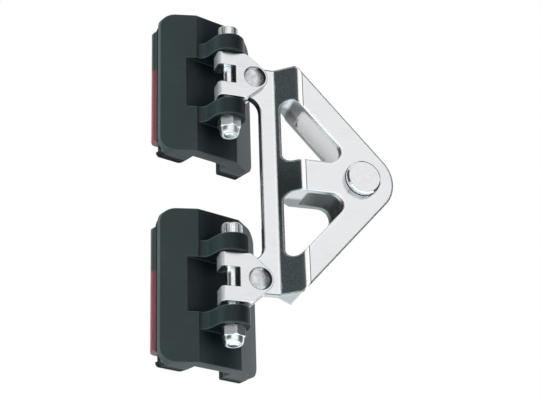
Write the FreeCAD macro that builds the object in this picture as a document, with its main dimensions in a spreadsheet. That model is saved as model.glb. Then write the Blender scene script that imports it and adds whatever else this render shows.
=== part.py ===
import FreeCAD, Part
import collections
import math
import os
import Sketcher

# Headboard car for a batten sail track, in millimetres.
# The origin is on the headboard pin's axis, halfway between the plates of the link. X points
# away from the mast, Z up, and Y to the far side. The two cars stand at the link's straight edge.

Vector = FreeCAD.Vector
Corner = collections.namedtuple("Corner", "across up bend", defaults=[None])


# A size holds its number and the formula that gives it on the sheet

class Size:
    """A driving dimension, or what follows from several: a number and its formula."""

    def __init__(self, value, formula):
        self.value = value
        self.formula = formula

    def __add__(self, other):
        other = as_size(other)
        return Size(self.value + other.value, f"({self.formula} + {other.formula})")

    def __sub__(self, other):
        other = as_size(other)
        return Size(self.value - other.value, f"({self.formula} - {other.formula})")

    def __mul__(self, other):
        other = as_size(other)
        return Size(self.value * other.value, f"({self.formula} * {other.formula})")

    def __truediv__(self, other):
        other = as_size(other)
        return Size(self.value / other.value, f"({self.formula} / {other.formula})")

    def __rsub__(self, other):
        return as_size(other) - self

    def __neg__(self):
        return Size(-self.value, f"(-{self.formula})")

    __radd__ = __add__
    __rmul__ = __mul__


def as_size(value):
    """A plain number as a size."""
    if isinstance(value, Size):
        return value
    return Size(float(value), f"({float(value)!r})" if value < 0 else f"{float(value)!r}")


def sine(angle):
    angle = as_size(angle)
    return Size(math.sin(math.radians(angle.value)), f"sin({angle.formula})")


def cosine(angle):
    angle = as_size(angle)
    return Size(math.cos(math.radians(angle.value)), f"cos({angle.formula})")


def tangent(angle):
    angle = as_size(angle)
    return Size(math.tan(math.radians(angle.value)), f"tan({angle.formula})")


def root(size):
    return Size(math.sqrt(size.value), f"sqrt({size.formula})")


document = FreeCAD.newDocument("HeadboardCar")
sheet = document.addObject("Spreadsheet::Sheet", "Sizes")
sheet_rows = []


def size(name, value):
    """Put a driving dimension on the sheet and return it."""
    sheet_rows.append(name)
    row = len(sheet_rows)
    sheet.set(f"A{row}", name)
    sheet.set(f"B{row}", str(value))
    sheet.setAlias(f"B{row}", name)
    return Size(float(value), f"Sizes.{name}")


# Fits

pin_clearance = size("pin_clearance", 0.05)
side_clearance = size("side_clearance", 0.2)
hang_clearance = size("hang_clearance", 0.15)
ball_clearance = size("ball_clearance", 0.12)

# Link: straight edge, lugs, shoulder, two plates and two windows

pin_reach = size("pin_reach", 56)
toggle_rise = size("toggle_rise", 58.8)
link_half_height = size("link_half_height", 65.8)
link_thickness = size("link_thickness", 24)
tongue_thickness = size("tongue_thickness", 4)
tongue_edge = size("tongue_edge", 3.5)
lug_reach = size("lug_reach", 6)
lug_radius = size("lug_radius", 6)
lug_drop = size("lug_drop", 6)
neck_radius = size("neck_radius", 8.4)
shoulder_end = size("shoulder_end", 24.8)
shoulder_angle = size("shoulder_angle", 41)
shoulder_hollow = size("shoulder_hollow", 1.2)
shoulder_crown = size("shoulder_crown", 4.5)
diagonal_angle = size("diagonal_angle", 42)
apex_radius = size("apex_radius", 18.5)
end_corner_radius = size("end_corner_radius", 3)
diagonal_bar = size("diagonal_bar", 14.5)
middle_bar_half = size("middle_bar_half", 9)
window_start = size("window_start", 14.3)
window_far_radius = size("window_far_radius", 4.2)
window_near_radius = size("window_near_radius", 5)
window_apex_radius = size("window_apex_radius", 6.6)
fork_width = size("fork_width", 17)
fork_floor = size("fork_floor", 29.5)
fork_corner_radius = size("fork_corner_radius", 2)
rim_radius = size("rim_radius", 0.8)

# Headboard pin and its retaining ring

pin_diameter = size("pin_diameter", 10)
pin_head_diameter = size("pin_head_diameter", 19.2)
pin_head_height = size("pin_head_height", 4.6)
pin_flange_diameter = size("pin_flange_diameter", 19.8)
pin_flange_height = size("pin_flange_height", 1.3)
pin_head_groove = size("pin_head_groove", 0.5)
pin_head_bevel = size("pin_head_bevel", 0.9)
pin_tail = size("pin_tail", 3.4)
pin_tail_bevel = size("pin_tail_bevel", 0.8)
ring_thickness = size("ring_thickness", 1.1)
ring_diameter = size("ring_diameter", 14)
ring_seat_diameter = size("ring_seat_diameter", 8.4)
ring_gap_angle = size("ring_gap_angle", 35)
ring_setback = size("ring_setback", 0.2)

# Toggle and toggle pin

pivot_reach = size("pivot_reach", 13.5)
toggle_width = size("toggle_width", 10.9)
toggle_end = size("toggle_end", 7.0)
toggle_end_radius = size("toggle_end_radius", 2.2)
toggle_half_height = size("toggle_half_height", 13.5)
nose_radius = size("nose_radius", 7.35)
nose_slope_angle = size("nose_slope_angle", 49.3)
toggle_top_radius = size("toggle_top_radius", 4)
notch_half_height = size("notch_half_height", 5.3)
notch_end = size("notch_end", 2.7)
slot_floor = size("slot_floor", 7.8)
toggle_rim_radius = size("toggle_rim_radius", 0.5)
cross_pin_diameter = size("cross_pin_diameter", 8)
cross_head_diameter = size("cross_head_diameter", 12.2)
cross_head_depth = size("cross_head_depth", 1.6)
cross_head_dome = size("cross_head_dome", 12)
cross_head_proud = size("cross_head_proud", 0.6)

# Car body: sloped faces, ears, channel for the track

car_turn = size("car_turn", 20)
car_half_height = size("car_half_height", 41.9)
aft_reach = size("aft_reach", 11.05)
aft_half_width = size("aft_half_width", 13.3)
wing_half_width = size("wing_half_width", 30.5)
wing_setback = size("wing_setback", 3.6)
wing_lip = size("wing_lip", 2.2)
side_half_width = size("side_half_width", 27.2)
side_wall = size("side_wall", 15.8)
channel_floor = size("channel_floor", 17.8)
split_reach = size("split_reach", 24.6)
outline_radius = size("outline_radius", 7.5)
pocket_floor = size("pocket_floor", 13.95)
ear_gap = size("ear_gap", 30)
ear_thickness = size("ear_thickness", 9.2)
eye_radius = size("eye_radius", 9)
ear_fillet = size("ear_fillet", 4.2)
ear_root = size("ear_root", 1.5)

# Ball guides, their feet and screws

guide_thickness = size("guide_thickness", 5.2)
guide_end_gap = size("guide_end_gap", 0.2)
guide_setback = size("guide_setback", 1.3)
foot_height = size("foot_height", 2.4)
foot_flat = size("foot_flat", 0.2)
foot_high_radius = size("foot_high_radius", 6.5)
foot_plate = size("foot_plate", 1.5)
foot_groove = size("foot_groove", 0.9)
foot_groove_depth = size("foot_groove_depth", 1.3)
guide_inner_chamfer = size("guide_inner_chamfer", 1.5)
screw_spread = size("screw_spread", 20)
guide_screw_diameter = size("guide_screw_diameter", 3)
guide_screw_head = size("guide_screw_head", 5.8)
guide_screw_length = size("guide_screw_length", 10)
guide_screw_slot = size("guide_screw_slot", 0.7)
guide_screw_slot_depth = size("guide_screw_slot_depth", 0.8)
screw_clearance = size("screw_clearance", 0.1)
drill_allowance = size("drill_allowance", 1)

# Side strips

strip_half_length = size("strip_half_length", 34.7)
strip_drop = size("strip_drop", 1.3)
strip_near_gap = size("strip_near_gap", 0.3)
strip_far_gap = size("strip_far_gap", 0.2)
strip_shoulder = size("strip_shoulder", 3.9)
strip_bulge = size("strip_bulge", 1.6)
strip_end_radius = size("strip_end_radius", 3)

# Balls and their circuits

ball_diameter = size("ball_diameter", 4.76)
ball_inset = size("ball_inset", 1.2)
circuit_radius = size("circuit_radius", 5)
circuit_half_straight = size("circuit_half_straight", 31)
ball_spacing = size("ball_spacing", 0.06)

# Pivot screw, lock nut and its locking ring

screw_diameter = size("screw_diameter", 6.35)
screw_head_diameter = size("screw_head_diameter", 11.7)
screw_head_height = size("screw_head_height", 7.2)
screw_head_bevel = size("screw_head_bevel", 0.7)
socket_width = size("socket_width", 4.7)
socket_depth = size("socket_depth", 3.4)
screw_tip = size("screw_tip", 0.4)
screw_tip_bevel = size("screw_tip_bevel", 0.9)
nut_width = size("nut_width", 11.1)
nut_hex_height = size("nut_hex_height", 5.6)
nut_collar_diameter = size("nut_collar_diameter", 10.6)
nut_collar_end = size("nut_collar_end", 8.9)
nut_collar_height = size("nut_collar_height", 4)
nut_collar_bulge = size("nut_collar_bulge", 6)
nut_corner_angle = size("nut_corner_angle", 30)
nut_ring_diameter = size("nut_ring_diameter", 7.9)
nut_ring_depth = size("nut_ring_depth", 1.5)
cut_margin = size("cut_margin", 5)

# Places that follow from the sizes

edge_line = -pin_reach + tongue_edge
lug_line = -pin_reach - lug_reach
front_face = link_thickness / 2
crown_line = -pin_reach + shoulder_end
ear_start = ear_gap / 2
ear_end = ear_start + ear_thickness
car_drop = ear_start - toggle_half_height - hang_clearance
foot_low_radius = foot_height - foot_flat
wing_reach = split_reach - wing_setback
guide_face = split_reach + guide_thickness
guide_half_height = car_half_height - guide_end_gap
strip_start = split_reach + strip_near_gap
strip_end = guide_face - strip_far_gap
channel_half_width = side_half_width - side_wall
ball_line = channel_half_width + ball_inset
return_line = ball_line + 2 * circuit_radius
guide_half_width = side_half_width - guide_setback
strip_half_width = guide_half_width + strip_shoulder + strip_bulge
circuit_centre = ball_line + circuit_radius
groove_radius = ball_diameter / 2 + ball_clearance
bore_radius = screw_diameter / 2 + pin_clearance
nut_end = -ear_end - nut_hex_height - nut_collar_height


# Drawing helpers

def reflected(loop, across, up, closing):
    """The mirror image of an outline, run the other way round."""
    image = []
    for index in range(len(loop) - 1, -1, -1):
        bend = loop[index - 1].bend if index else closing
        image.append(Corner(loop[index].across * across, loop[index].up * up, bend))
    return image


def handed(corners, side):
    """An outline as it is for the right side, and its mirror image for the left."""
    return corners if side > 0 else reflected(corners, -1, 1, corners[-1].bend)


def both_sides(half, across=1, up=-1, closing=None):
    """Half an outline joined to its mirror image; a first corner on the middle line is shared."""
    image = reflected(half, across, up, closing)
    first = half[0].across if across < 0 else half[0].up
    if abs(as_size(first).value) < 1e-9:
        image.pop()
    return half + image


def hexagon(width, turn=0):
    """The corners of a hexagon of the given width across its flats."""
    reach = width / (2 * cosine(30))
    corners = []
    for index in range(6):
        angle = turn + 60 * index
        corners.append(Corner(reach * cosine(angle), reach * sine(angle)))
    return corners


class Drawing:
    """A sketch on one of its body's own planes, with dimensions that follow the sheet."""

    def __init__(self, body, name, plane, offset=None):
        self.sketch = body.newObject("Sketcher::SketchObject", name)
        for feature in body.Origin.OriginFeatures:
            if feature.Role == plane:
                self.sketch.AttachmentSupport = (feature, [""])
        self.sketch.MapMode = "FlatFace"
        if offset is not None:
            self.sketch.AttachmentOffset = FreeCAD.Placement(Vector(0, 0, offset.value), FreeCAD.Rotation())
            self.sketch.setExpression(".AttachmentOffset.Base.z", offset.formula)

    def fix(self, kind, places, amount):
        """Add a dimension and tie it to its formula."""
        index = self.sketch.addConstraint(Sketcher.Constraint(kind, *places, amount.value))
        self.sketch.setExpression(f"Constraints[{index}]", amount.formula)

    def loop(self, corners):
        """Draw a closed outline of lines and arcs; a bend is an arc's radius, negative to the right."""
        corners = [Corner(as_size(c.across), as_size(c.up), c.bend) for c in corners]
        ends = []
        for index, corner in enumerate(corners):
            following = corners[(index + 1) % len(corners)]
            ends.append(self.edge(corner, following))
        for index, (edge, start, _) in enumerate(ends):
            before, _, end = ends[index - 1]
            self.sketch.addConstraint(Sketcher.Constraint("Coincident", before, end, edge, start))
            self.fix("DistanceX", (-1, 1, edge, start), corners[index].across)
            self.fix("DistanceY", (-1, 1, edge, start), corners[index].up)
        return self

    def edge(self, corner, following):
        """Draw one line or arc and return its number and the numbers of its two ends."""
        start = Vector(corner.across.value, corner.up.value, 0)
        finish = Vector(following.across.value, following.up.value, 0)
        if corner.bend is None:
            return self.sketch.addGeometry(Part.LineSegment(start, finish)), 1, 2
        bend = as_size(corner.bend)
        radius = abs(bend.value)
        chord = finish - start
        left = Vector(-chord.y, chord.x, 0).normalize()
        depth = math.sqrt(max(radius ** 2 - chord.Length ** 2 / 4, 0))
        turns_left = bend.value > 0
        centre = (start + finish) / 2 + left * (depth if turns_left else -depth)
        first, last = (start, finish) if turns_left else (finish, start)
        from_angle = math.atan2(first.y - centre.y, first.x - centre.x)
        to_angle = math.atan2(last.y - centre.y, last.x - centre.x)
        circle = Part.Circle(centre, Vector(0, 0, 1), radius)
        index = self.sketch.addGeometry(Part.ArcOfCircle(circle, from_angle, to_angle))
        self.fix("Radius", (index,), bend if turns_left else -bend)
        return (index, 1, 2) if turns_left else (index, 2, 1)

    def circle(self, across, up, radius):
        """Draw a circle."""
        across, up, radius = as_size(across), as_size(up), as_size(radius)
        ring = Part.Circle(Vector(across.value, up.value, 0), Vector(0, 0, 1), radius.value)
        index = self.sketch.addGeometry(ring)
        self.fix("DistanceX", (-1, 1, index, 3), across)
        self.fix("DistanceY", (-1, 1, index, 3), up)
        self.fix("Radius", (index,), radius)
        return self


def new_body(label):
    body = document.addObject("PartDesign::Body", label)
    body.Label = label
    return body


def pad(body, name, drawing, length):
    """A pad to both sides of its sketch."""
    feature = body.newObject("PartDesign::Pad", name)
    feature.Profile = drawing.sketch
    feature.SideType = "Symmetric"
    feature.setExpression("Length", length.formula)
    return feature


def pad_one_side(body, name, drawing, length, reverse=False):
    """A pad to one side of its sketch."""
    feature = body.newObject("PartDesign::Pad", name)
    feature.Profile = drawing.sketch
    feature.Reversed = reverse
    feature.setExpression("Length", length.formula)
    return feature


def cut_through(body, name, drawing):
    """A pocket right through the body, to both sides of its sketch."""
    before = solid_volume(body)
    feature = body.newObject("PartDesign::Pocket", name)
    feature.Profile = drawing.sketch
    feature.Type = "ThroughAll"
    feature.SideType = "Symmetric"
    must_cut(body, feature, before)
    return feature


def cut_into(body, name, drawing, depth, reverse=False):
    """A pocket of a given depth."""
    before = solid_volume(body)
    feature = body.newObject("PartDesign::Pocket", name)
    feature.Profile = drawing.sketch
    feature.Reversed = reverse
    feature.setExpression("Length", depth.formula)
    must_cut(body, feature, before)
    return feature


def turned(body, name, drawing, kind="PartDesign::Revolution"):
    """A full turn of a sketch about its own upright axis."""
    feature = body.newObject(kind, name)
    feature.Profile = drawing.sketch
    feature.ReferenceAxis = (drawing.sketch, ["V_Axis"])
    feature.Angle = 360
    return feature


def groove_along(body, name, section, path):
    """Cut a groove of one section along a path."""
    before = solid_volume(body)
    feature = body.newObject("PartDesign::SubtractivePipe", name)
    feature.Profile = section.sketch
    feature.Spine = (path.sketch, [])
    must_cut(body, feature, before)
    return feature


def solid_volume(body):
    document.recompute()
    return body.Tip.Shape.Volume


def must_cut(body, feature, before):
    """Stop if a cut took nothing away."""
    document.recompute()
    if feature.Shape.isNull() or feature.Shape.Volume > before - 1e-6:
        raise RuntimeError(f"{body.Label}: {feature.Name} cuts nothing")


def dress(body, kind, name, amount, wanted):
    """Fillet or chamfer the edges of the body so far that a test picks out."""
    document.recompute()
    base = body.Tip
    names = [f"Edge{number}" for number, edge in enumerate(base.Shape.Edges, 1) if wanted(edge)]
    if not names:
        raise RuntimeError(f"{body.Label}: {name} finds no edge")
    feature = body.newObject(kind, name)
    feature.Base = (base, names)
    feature.setExpression("Radius" if kind.endswith("Fillet") else "Size", amount.formula)
    body.Tip = feature
    document.recompute()
    return feature


def upright_at(spots):
    """A test for straight edges along Y that pass through one of the (x, z) spots."""
    def wanted(edge):
        box = edge.BoundBox
        if box.YLength < 1e-3 or box.XLength > 1e-3 or box.ZLength > 1e-3:
            return False
        return any(abs(box.XMin - x.value) < 0.01 and abs(box.ZMin - z.value) < 0.01 for x, z in spots)
    return wanted


def rim_at(height, axis="Y"):
    """A test for edges that lie in the two planes at plus and minus a height."""
    def wanted(edge):
        box = edge.BoundBox
        low = getattr(box, axis + "Min")
        high = getattr(box, axis + "Max")
        return high - low < 1e-3 and abs(abs(high) - height.value) < 1e-3
    return wanted


# Link

def diagonal_at(across, reach):
    """Height of a line parallel to the upper diagonal, at its reach from the headboard pin."""
    return (reach - across * cosine(diagonal_angle)) / sine(diagonal_angle)


def diagonal_over(up, reach):
    """Place across of the same line at a height."""
    return (reach - up * sine(diagonal_angle)) / cosine(diagonal_angle)


def link():
    body = new_body("link")
    end_corner = diagonal_over(link_half_height, apex_radius)
    neck_across = tongue_edge - neck_radius
    neck_sum = lug_radius + neck_radius
    neck_down = root(neck_sum * neck_sum - neck_across * neck_across)
    join = lug_radius / neck_sum
    lug_bottom = toggle_rise - lug_drop
    lug_side = -pin_reach - lug_reach + lug_radius
    upper = [
        Corner(apex_radius * cosine(diagonal_angle), apex_radius * sine(diagonal_angle)),
        Corner(end_corner, link_half_height),
        Corner(lug_side, link_half_height, lug_radius),
        Corner(lug_line, link_half_height - lug_radius),
        Corner(lug_line, lug_bottom, lug_radius),
        Corner(lug_side + neck_across * join, lug_bottom - neck_down * join, -neck_radius),
        Corner(edge_line, lug_bottom - neck_down),
    ]
    outline = Drawing(body, "Outline", "XZ_Plane").loop(both_sides(upper, closing=apex_radius))
    pad(body, "Blank", outline, link_thickness)
    inner_reach = apex_radius - diagonal_bar
    window_line = -pin_reach + window_start
    near = (window_line, middle_bar_half)
    tip = (diagonal_over(middle_bar_half, inner_reach), middle_bar_half)
    far = (window_line, diagonal_at(window_line, inner_reach))
    window = [Corner(*near), Corner(*tip), Corner(*far)]
    windows = Drawing(body, "WindowOutlines", "XZ_Plane")
    windows.loop(window)
    windows.loop(reflected(window, 1, -1, None))
    cut_through(body, "Windows", windows)

    def pair(spot):
        return [spot, (spot[0], -spot[1])]

    dress(body, "PartDesign::Fillet", "EndCorners", end_corner_radius,
          upright_at(pair((end_corner, link_half_height))))
    dress(body, "PartDesign::Fillet", "WindowFarCorners", window_far_radius, upright_at(pair(far)))
    dress(body, "PartDesign::Fillet", "WindowNearCorners", window_near_radius, upright_at(pair(near)))
    dress(body, "PartDesign::Fillet", "WindowTips", window_apex_radius, upright_at(pair(tip)))
    dress(body, "PartDesign::Fillet", "Rims", rim_radius, rim_at(front_face))
    shoulders = Drawing(body, "ShoulderSection", "XY_Plane")
    section = shoulder_section()
    shoulders.loop(section)
    shoulders.loop(reflected(section, 1, -1, section[-1].bend))
    cut_through(body, "Shoulders", shoulders)
    half_fork = fork_width / 2
    beyond = apex_radius + cut_margin
    fork_half = [
        Corner(beyond, half_fork),
        Corner(-fork_floor + fork_corner_radius, half_fork, fork_corner_radius),
        Corner(-fork_floor, half_fork - fork_corner_radius),
    ]
    fork = Drawing(body, "ForkSection", "XY_Plane").loop(both_sides(fork_half))
    cut_through(body, "Fork", fork)
    bores = Drawing(body, "PinBores", "XZ_Plane")
    bores.circle(0, 0, pin_diameter / 2 + pin_clearance)
    for side in (1, -1):
        bores.circle(-pin_reach, toggle_rise * side, cross_pin_diameter / 2 + pin_clearance)
    cut_through(body, "Bores", bores)
    return body


def shoulder_section():
    """What is cut away beside the tongue: a hollow, a straight slope and a round crown."""
    rise = front_face - tongue_thickness / 2
    lift = 1 - cosine(shoulder_angle)
    slope_rise = rise - (shoulder_hollow + shoulder_crown) * lift
    slope_run = slope_rise / tangent(shoulder_angle)
    crown_start = crown_line - shoulder_crown * sine(shoulder_angle)
    hollow_end = crown_start - slope_run
    hollow_start = hollow_end - shoulder_hollow * sine(shoulder_angle)
    outside = front_face + cut_margin
    left = lug_line - cut_margin
    return [
        Corner(hollow_start, tongue_thickness / 2, shoulder_hollow),
        Corner(hollow_end, tongue_thickness / 2 + shoulder_hollow * lift),
        Corner(crown_start, front_face - shoulder_crown * lift, -shoulder_crown),
        Corner(crown_line, front_face),
        Corner(crown_line, outside),
        Corner(left, outside),
        Corner(left, tongue_thickness / 2),
    ]


def headboard_pin():
    body = new_body("headboard_pin")
    head = pin_head_diameter / 2
    flange = pin_flange_diameter / 2
    shank = pin_diameter / 2
    seat = ring_seat_diameter / 2
    top = -front_face - pin_head_height
    step = -front_face - pin_flange_height
    tail = front_face + pin_tail
    ring_near = front_face + ring_setback
    ring_far = ring_near + ring_thickness
    half = [
        Corner(0, top),
        Corner(head - pin_head_bevel, top),
        Corner(head, top + pin_head_bevel),
        Corner(head, step - pin_head_groove),
        Corner(head - pin_head_groove, step - pin_head_groove),
        Corner(head - pin_head_groove, step),
        Corner(flange, step),
        Corner(flange, -front_face),
        Corner(shank, -front_face),
        Corner(shank, ring_near),
        Corner(seat, ring_near),
        Corner(seat, ring_far),
        Corner(shank, ring_far),
        Corner(shank, tail - pin_tail_bevel),
        Corner(shank - pin_tail_bevel, tail),
        Corner(0, tail),
    ]
    turned(body, "Pin", Drawing(body, "HalfSection", "XY_Plane").loop(half))
    return body


def retaining_ring():
    body = new_body("retaining_ring")
    inner = ring_seat_diameter / 2 + pin_clearance
    outer = ring_diameter / 2
    half = []
    for angle, radius in ((0, outer), (90, outer)):
        half.append(Corner(radius * cosine(angle), radius * sine(angle), radius))
    opening = 180 - ring_gap_angle
    half.append(Corner(outer * cosine(opening), outer * sine(opening)))
    half.append(Corner(inner * cosine(opening), inner * sine(opening), -inner))
    half.append(Corner(inner * cosine(90), inner * sine(90), -inner))
    outline = half + [Corner(inner, 0, -inner), Corner(0, -inner, -inner)]
    outline.append(Corner(inner * cosine(opening), -inner * sine(opening)))
    outline.append(Corner(outer * cosine(opening), -outer * sine(opening), outer))
    outline.append(Corner(0, -outer, outer))
    # the sketch's normal points to the near side, so the far face is at a negative offset
    ring = Drawing(body, "Ring", "XZ_Plane", -(front_face + ring_setback)).loop(outline)
    pad_one_side(body, "Plate", ring, ring_thickness, reverse=True)
    return body


# Toggles

def toggle(name):
    body = new_body(name)
    side_face = toggle_width / 2
    back = -pivot_reach - toggle_end
    plan_half = [
        Corner(back, 0),
        Corner(back, side_face - toggle_end_radius, -toggle_end_radius),
        Corner(back + toggle_end_radius, side_face),
        Corner(nose_radius + cut_margin, side_face),
    ]
    plan = Drawing(body, "Plan", "XY_Plane").loop(both_sides(plan_half))
    pad(body, "Blank", plan, 2 * toggle_half_height)
    top_centre = toggle_half_height - toggle_top_radius
    top_start = (nose_radius - toggle_top_radius - top_centre * sine(nose_slope_angle)) \
        / cosine(nose_slope_angle)
    top_across = toggle_top_radius * cosine(nose_slope_angle)
    top_up = toggle_top_radius * sine(nose_slope_angle)
    outside = toggle_half_height + cut_margin
    beyond = nose_radius + 2 * cut_margin
    upper = [
        Corner(nose_radius, 0, nose_radius),
        Corner(nose_radius * cosine(nose_slope_angle), nose_radius * sine(nose_slope_angle)),
        Corner(top_start + top_across, top_centre + top_up, toggle_top_radius),
        Corner(top_start, toggle_half_height),
        Corner(top_start, outside),
        Corner(beyond, outside),
    ]
    side = Drawing(body, "NoseOutline", "XZ_Plane").loop(both_sides(upper))
    cut_through(body, "Nose", side)
    dress(body, "PartDesign::Fillet", "Rims", toggle_rim_radius, toggle_side_rim)
    notch_half = [
        Corner(-pivot_reach + notch_end, notch_half_height),
        Corner(back - cut_margin, notch_half_height),
    ]
    notch = Drawing(body, "NotchOutline", "XZ_Plane").loop(both_sides(notch_half))
    cut_through(body, "Notch", notch)
    slot_half = [
        Corner(nose_radius + cut_margin, tongue_thickness / 2 + side_clearance),
        Corner(-slot_floor, tongue_thickness / 2 + side_clearance),
    ]
    slot = Drawing(body, "SlotSection", "XY_Plane").loop(both_sides(slot_half))
    cut_through(body, "TongueSlot", slot)
    pivot = Drawing(body, "PivotBore", "XY_Plane").circle(-pivot_reach, 0, bore_radius)
    cut_through(body, "Pivot", pivot)
    bore = Drawing(body, "CrossBore", "XZ_Plane").circle(0, 0, cross_pin_diameter / 2 + pin_clearance)
    cut_through(body, "Cross", bore)
    recess = cross_head_diameter / 2 + pin_clearance
    near = Drawing(body, "NearRecess", "XZ_Plane", side_face).circle(0, 0, recess)
    cut_into(body, "NearCounterbore", near, cross_head_depth)
    far = Drawing(body, "FarRecess", "XZ_Plane", -side_face).circle(0, 0, recess)
    cut_into(body, "FarCounterbore", far, cross_head_depth, reverse=True)
    return body


def toggle_side_rim(edge):
    """Whether an edge is part of the nose's outline on one of the toggle's flat sides."""
    box = edge.BoundBox
    flat = box.YLength < 1e-3 and abs(abs(box.YMin) - toggle_width.value / 2) < 1e-3
    return flat and box.XMax > -pivot_reach.value + 0.5


def toggle_pin(name):
    body = new_body(name)
    shank = cross_pin_diameter / 2
    head = cross_head_diameter / 2
    face = toggle_width / 2 + cross_head_proud
    seat = toggle_width / 2 - cross_head_depth
    fall = cross_head_dome - root(cross_head_dome * cross_head_dome - head * head)
    half = [
        Corner(0, -face, cross_head_dome),
        Corner(head, -face + fall),
        Corner(head, -seat),
        Corner(shank, -seat),
    ]
    turned(body, "Pin", Drawing(body, "HalfSection", "XY_Plane").loop(both_sides(half)))
    return body


# Cars

def car_body(name):
    body = new_body(name)
    half = [
        Corner(aft_half_width, aft_reach),
        Corner(wing_half_width, wing_reach),
        Corner(wing_half_width, wing_reach + wing_lip),
        Corner(side_half_width, wing_reach + wing_lip),
        Corner(side_half_width, split_reach),
        Corner(channel_half_width, split_reach),
        Corner(channel_half_width, channel_floor),
    ]
    section = Drawing(body, "Section", "XY_Plane").loop(both_sides(half, across=-1, up=1))
    pad(body, "Extrusion", section, 2 * car_half_height)
    inner = wing_half_width - outline_radius
    frame_half = [
        Corner(inner, -car_half_height, outline_radius),
        Corner(wing_half_width, outline_radius - car_half_height),
        Corner(wing_half_width, car_half_height - outline_radius, outline_radius),
        Corner(inner, car_half_height),
    ]
    wide = wing_half_width + cut_margin
    high = car_half_height + cut_margin
    trim = Drawing(body, "OutlineTrim", "XZ_Plane")
    trim.loop(both_sides(frame_half, across=-1, up=1))
    trim.loop(both_sides([Corner(wide, -high), Corner(wide, high)], across=-1, up=1))
    cut_through(body, "OutlineCorners", trim)
    ear_half = [
        Corner(0, -eye_radius, eye_radius),
        Corner(eye_radius, 0),
        Corner(eye_radius, aft_reach - ear_fillet, -ear_fillet),
        Corner(eye_radius + ear_fillet, aft_reach),
        Corner(eye_radius + ear_fillet, aft_reach + ear_root),
    ]
    ears = Drawing(body, "EarPlan", "XY_Plane").loop(both_sides(ear_half, across=-1, up=1))
    pad(body, "Ears", ears, 2 * ear_end)
    gap_half = [
        Corner(pocket_floor, ear_start),
        Corner(-eye_radius - cut_margin, ear_start),
    ]
    gap = Drawing(body, "GapSection", "YZ_Plane").loop(both_sides(gap_half))
    cut_through(body, "EarGap", gap)
    bore = Drawing(body, "PivotBore", "XY_Plane").circle(0, 0, bore_radius)
    cut_through(body, "Pivot", bore)
    for side, word in ((1, "Right"), (-1, "Left")):
        cut_circuit(body, word, side)
    holes = Drawing(body, "ScrewHoles", "XZ_Plane", -split_reach)
    for side in (1, -1):
        for end in (1, -1):
            holes.circle(circuit_centre * side, screw_spread * end, guide_screw_diameter / 2 + screw_clearance)
    depth = guide_screw_length - (guide_face - split_reach) + drill_allowance
    cut_into(body, "ScrewBores", holes, depth, reverse=True)
    return body


def cut_circuit(body, word, side):
    """Cut the half of a ball circuit's groove that lies in this body."""
    path = Drawing(body, f"{word}Circuit", "XZ_Plane", -split_reach)
    upper = [
        Corner(ball_line, 0),
        Corner(ball_line, circuit_half_straight, -circuit_radius),
        Corner(circuit_centre, circuit_half_straight + circuit_radius, -circuit_radius),
        Corner(return_line, circuit_half_straight),
    ]
    track = upper + reflected(upper, 1, -1, None)[:-1]
    if side < 0:
        track = reflected(track, -1, 1, None)
        track = track[-1:] + track[:-1]
    path.loop(track)
    section = Drawing(body, f"{word}GrooveSection", "XY_Plane")
    section.circle(ball_line * side, split_reach, groove_radius)
    groove_along(body, f"{word}Groove", section, path)


def ball_guide(name, side):
    """The guide of one side: a flat seat for the strip between two feet that stand out."""
    body = new_body(name)
    plan = Drawing(body, "Plan", "XY_Plane").loop(handed([
        Corner(channel_half_width + guide_inner_chamfer, guide_face),
        Corner(channel_half_width, guide_face - guide_inner_chamfer),
        Corner(channel_half_width, split_reach),
        Corner(side_half_width, split_reach),
        Corner(side_half_width, guide_face),
    ], side))
    pad(body, "Extrusion", plan, 2 * guide_half_height)
    wide = side_half_width + cut_margin
    outside = guide_half_height + cut_margin
    sides = Drawing(body, "SideOutline", "XZ_Plane")
    sides.loop(handed([
        Corner(guide_half_width, foot_height - guide_half_height),
        Corner(wide, foot_height - guide_half_height),
        Corner(wide, guide_half_height - foot_high_radius - foot_height / 2),
        Corner(guide_half_width, guide_half_height - foot_high_radius - foot_height / 2),
    ], side))
    for radius, end in ((foot_low_radius, -1), (foot_high_radius, 1)):
        straight = guide_half_height - radius
        corner = [
            Corner(side_half_width, straight, radius),
            Corner(side_half_width - radius, guide_half_height),
            Corner(side_half_width - radius, outside),
            Corner(wide, outside),
            Corner(wide, straight),
        ]
        if end < 0:
            corner = reflected(corner, 1, -1, None)
        sides.loop(handed(corner, side))
    cut_through(body, "Sides", sides)
    for word, end in (("Lower", -1), ("Upper", 1)):
        mouth = Drawing(body, f"{word}FootGroove", "XY_Plane", guide_half_height * end).loop(handed([
            Corner(wide, guide_face - foot_plate),
            Corner(channel_half_width - cut_margin, guide_face - foot_plate),
            Corner(channel_half_width - cut_margin, guide_face - foot_plate - foot_groove),
            Corner(wide, guide_face - foot_plate - foot_groove),
        ], side))
        cut_into(body, f"{word}Groove", mouth, foot_groove_depth, reverse=end < 0)
    cut_circuit(body, "Ball", side)
    holes = Drawing(body, "ScrewHoles", "XZ_Plane")
    for end in (1, -1):
        holes.circle(circuit_centre * side, screw_spread * end, guide_screw_diameter / 2 + screw_clearance)
    cut_through(body, "ScrewBores", holes)
    sink = (guide_screw_head - guide_screw_diameter) / 2
    dress(body, "PartDesign::Chamfer", "Countersinks", sink, screw_rim)
    return body


def screw_rim(edge):
    """Whether an edge is the rim of a screw hole on the guide's face."""
    box = edge.BoundBox
    ring = isinstance(edge.Curve, Part.Circle) and edge.isClosed()
    return ring and box.YLength < 1e-3 and abs(box.YMin - guide_face.value) < 1e-3


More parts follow.
